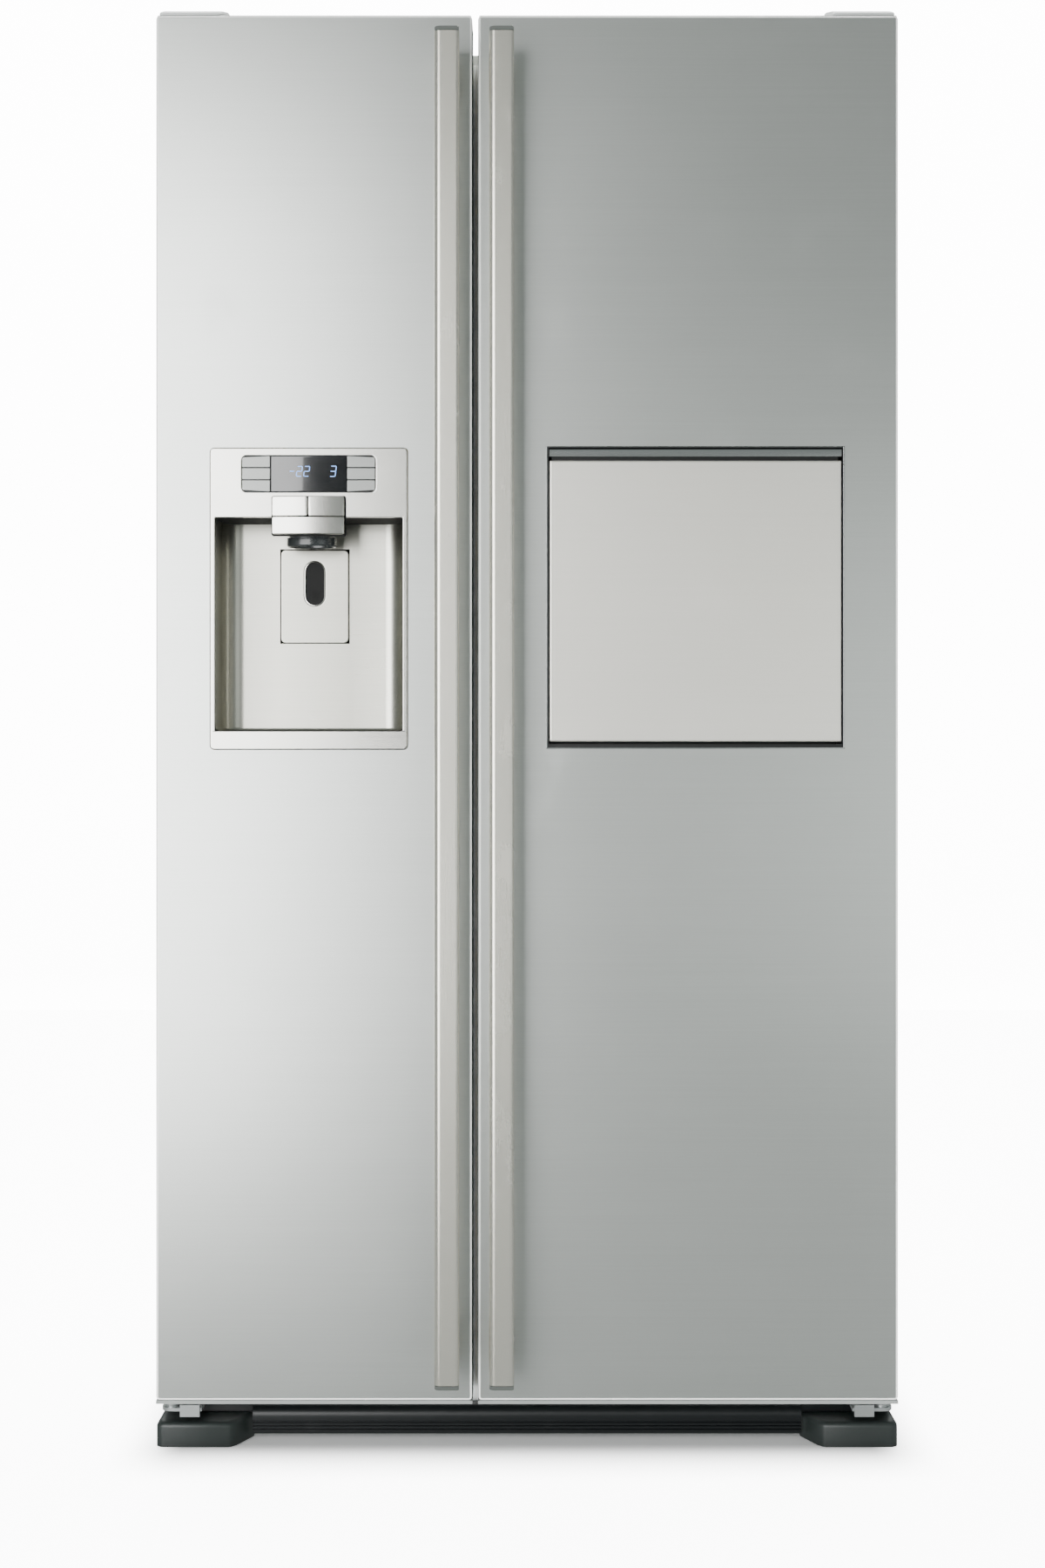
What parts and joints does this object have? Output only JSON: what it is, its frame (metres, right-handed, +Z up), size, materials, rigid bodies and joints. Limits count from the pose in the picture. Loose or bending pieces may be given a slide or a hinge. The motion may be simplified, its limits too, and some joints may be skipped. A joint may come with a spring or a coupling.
{
  "type": "side by side refrigerator",
  "caption": "Side by side refrigerator with bar handles, an ice and water dispenser in the freezer door and a fold-down home bar in the fridge door.",
  "frame": {"origin": "middle of the underside of the whole object, on the floor", "axes": "+Z up, the doors face -Y, +X to the right as seen from the front"},
  "size_m": [0.912, 0.734, 1.789],
  "materials": {
    "case_paint": "satin grey paint, fine texture",
    "door_steel": "silver coated steel with faint horizontal grain",
    "bright_steel": "brushed, horizontal grain",
    "handle_metal": "brushed along its length",
    "zinc_steel": "zinc plated",
    "foam": "rigid foam, slightly porous",
    "white_plastic": "smooth white plastic",
    "clear_plastic": "clear plastic",
    "shelf_glass": "clear toughened glass",
    "dark_plastic": "dark grey moulded plastic",
    "cover_plastic": "light grey moulded plastic",
    "key_plastic": "grey satin keys",
    "display_window": "black gloss window",
    "gasket_rubber": "grey vinyl seal",
    "coil_metal": "bare fins and tube",
    "compressor_paint": "black paint",
    "auger_metal": "stainless steel",
    "roller_plastic": "black hard plastic on a steel axle"
  },
  "bodies": {
    "root": {"outer_case": "case_paint", "rear_panel": "zinc_steel", "cabinet_foam": "foam", "freezer_liner": "white_plastic", "fridge_liner": "white_plastic", "base_frame": "zinc_steel", "kick_plate": "dark_plastic", "foot_covers": "dark_plastic", "levelling_legs": "zinc_steel", "top_hinges": "zinc_steel", "bottom_hinges": "zinc_steel", "hinge_covers": "cover_plastic", "shelf_glasses": "shelf_glass", "shelf_trims": "white_plastic", "evaporator_cover": "white_plastic", "evaporator": "coil_metal", "ice_maker": "white_plastic", "ice_bucket": "clear_plastic", "compressor": "compressor_paint", "condenser": "coil_metal", "compressor_cover": "zinc_steel", "cord_inlet": "dark_plastic"},
    "freezer_door": {"freezer_door_skin": "door_steel", "freezer_door_foam": "foam", "freezer_door_caps": "dark_plastic", "freezer_door_liner": "white_plastic", "freezer_gasket": "gasket_rubber", "freezer_handle": "handle_metal", "freezer_door_bins": "clear_plastic", "dispenser_bezel": "bright_steel", "dispenser_recess": "bright_steel", "dispenser_display": "display_window", "ice_chute": "dark_plastic"},
    "fridge_door": {"fridge_door_skin": "door_steel", "fridge_door_foam": "foam", "fridge_door_caps": "dark_plastic", "fridge_door_liner": "white_plastic", "fridge_gasket": "gasket_rubber", "fridge_handle": "handle_metal", "fridge_door_bins": "clear_plastic", "home_bar_frame": "dark_plastic"},
    "home_bar_flap": {"flap_panel": "bright_steel", "flap_core": "foam", "flap_rail": "bright_steel"},
    "lever_pad": {"dispenser_lever": "bright_steel"},
    "left_button": {"press_button_left": "bright_steel"},
    "right_button": {"press_button_right": "bright_steel"},
    "upper_crisper_box": {"upper_crisper": "clear_plastic"},
    "lower_crisper_box": {"lower_crisper": "clear_plastic"},
    "freezer_drawer_box": {"freezer_drawer": "clear_plastic"},
    "rollers": {"rear_rollers": "roller_plastic"},
    "evaporator_fan_rotor": {"evaporator_fan": "dark_plastic"},
    "condenser_fan_rotor": {"condenser_fan": "dark_plastic"},
    "auger": {"ice_auger": "auger_metal"},
    "key_left_top_cap": {"key_left_top": "key_plastic"},
    "key_left_middle_cap": {"key_left_middle": "key_plastic"},
    "key_left_low_cap": {"key_left_low": "key_plastic"},
    "key_right_top_cap": {"key_right_top": "key_plastic"},
    "key_right_middle_cap": {"key_right_middle": "key_plastic"},
    "key_right_low_cap": {"key_right_low": "key_plastic"}
  },
  "joints": [
    {"name": "freezer_door_hinge", "type": "hinge", "parent": "root", "child": "freezer_door", "pos_m": [-0.438, -0.281, 0.9], "axis": [0, 0, -1], "range_deg": [0, 120]},
    {"name": "fridge_door_hinge", "type": "hinge", "parent": "root", "child": "fridge_door", "pos_m": [0.438, -0.281, 0.9], "axis": [0, 0, 1], "range_deg": [0, 120]},
    {"name": "home_bar_hinge", "type": "hinge", "parent": "fridge_door", "child": "home_bar_flap", "pos_m": [0.20585, -0.301, 0.871], "axis": [1, 0, 0], "range_deg": [0, 90]},
    {"name": "lever_pivot", "type": "hinge", "parent": "freezer_door", "child": "lever_pad", "pos_m": [-0.2668, -0.2315, 1.1047], "axis": [1, 0, 0], "range_deg": [0, 8], "stiffness_Nm_per_rad": 0.3},
    {"name": "left_button_press", "type": "slide", "parent": "freezer_door", "child": "left_button", "axis": [0, 1, 0], "range_m": [0, 0.0015], "stiffness_N_per_m": 900},
    {"name": "right_button_press", "type": "slide", "parent": "freezer_door", "child": "right_button", "axis": [0, 1, 0], "range_m": [0, 0.0015], "stiffness_N_per_m": 900},
    {"name": "key_left_top_press", "type": "slide", "parent": "freezer_door", "child": "key_left_top_cap", "axis": [0, 1, 0], "range_m": [0, 0.001], "stiffness_N_per_m": 900},
    {"name": "key_left_middle_press", "type": "slide", "parent": "freezer_door", "child": "key_left_middle_cap", "axis": [0, 1, 0], "range_m": [0, 0.001], "stiffness_N_per_m": 900},
    {"name": "key_left_low_press", "type": "slide", "parent": "freezer_door", "child": "key_left_low_cap", "axis": [0, 1, 0], "range_m": [0, 0.001], "stiffness_N_per_m": 900},
    {"name": "key_right_top_press", "type": "slide", "parent": "freezer_door", "child": "key_right_top_cap", "axis": [0, 1, 0], "range_m": [0, 0.001], "stiffness_N_per_m": 900},
    {"name": "key_right_middle_press", "type": "slide", "parent": "freezer_door", "child": "key_right_middle_cap", "axis": [0, 1, 0], "range_m": [0, 0.001], "stiffness_N_per_m": 900},
    {"name": "key_right_low_press", "type": "slide", "parent": "freezer_door", "child": "key_right_low_cap", "axis": [0, 1, 0], "range_m": [0, 0.001], "stiffness_N_per_m": 900},
    {"name": "upper_crisper_slide", "type": "slide", "parent": "root", "child": "upper_crisper_box", "axis": [0, -1, 0], "range_m": [0, 0.085]},
    {"name": "lower_crisper_slide", "type": "slide", "parent": "root", "child": "lower_crisper_box", "axis": [0, -1, 0], "range_m": [0, 0.085]},
    {"name": "freezer_drawer_slide", "type": "slide", "parent": "root", "child": "freezer_drawer_box", "axis": [0, -1, 0], "range_m": [0, 0.085]},
    {"name": "roller_axle", "type": "hinge", "parent": "root", "child": "rollers", "pos_m": [0, 0.327, 0.019], "axis": [1, 0, 0], "continuous": true},
    {"name": "evaporator_fan_shaft", "type": "hinge", "parent": "root", "child": "evaporator_fan_rotor", "pos_m": [-0.24625, 0.266, 1.12], "axis": [0, 1, 0], "continuous": true},
    {"name": "condenser_fan_shaft", "type": "hinge", "parent": "root", "child": "condenser_fan_rotor", "pos_m": [-0.02, 0.262, 0.152], "axis": [0, 1, 0], "continuous": true},
    {"name": "auger_shaft", "type": "hinge", "parent": "root", "child": "auger", "pos_m": [-0.2668, 0, 1.302], "axis": [0, 1, 0], "continuous": true}
  ]
}
